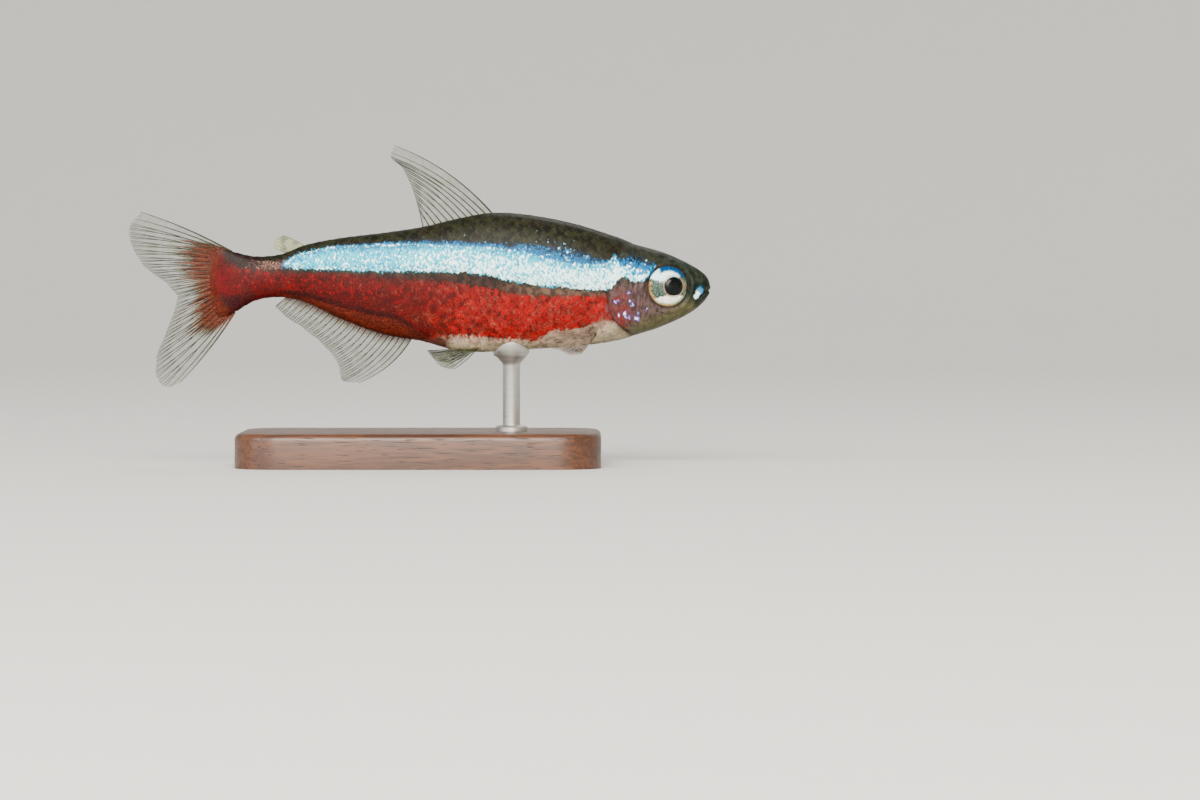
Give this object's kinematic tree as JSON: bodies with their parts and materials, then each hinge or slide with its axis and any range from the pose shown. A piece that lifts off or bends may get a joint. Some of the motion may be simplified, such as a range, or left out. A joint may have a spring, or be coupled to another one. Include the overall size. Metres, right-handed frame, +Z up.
{
  "type": "cardinal tetra",
  "caption": "Life-size still model of a small freshwater fish with a blue-white side stripe over a red flank, held level over a flat base by a short rod.",
  "frame": {"origin": "middle of the stand base's underside, which is also the bottom centre of the whole part", "axes": "+X along the body towards the snout, +Y to the fish's left side, +Z up"},
  "size_m": [0.04, 0.014, 0.0221],
  "materials": {
    "dark_skin": "wet scaled skin, dark olive-brown",
    "striped_skin": "wet scaled skin, blue-white stripe over red",
    "fin_membrane": "clear thin membrane between dark rays",
    "eye": "moist silver iris round a black pupil",
    "walnut": "oiled",
    "steel": "brushed"
  },
  "bodies": {
    "root": {"head": "dark_skin", "trunk": "striped_skin", "tail_stalk": "striped_skin", "eye_right": "eye", "eye_left": "eye", "dorsal_fin": "fin_membrane", "adipose_fin": "fin_membrane", "anal_fin": "fin_membrane", "caudal_fin_upper": "fin_membrane", "caudal_fin_lower": "fin_membrane", "pectoral_fin_right": "fin_membrane", "pectoral_fin_left": "fin_membrane", "pelvic_fin_right": "fin_membrane", "pelvic_fin_left": "fin_membrane", "stand_base": "walnut", "stand_rod": "steel"}
  },
  "joints": []
}
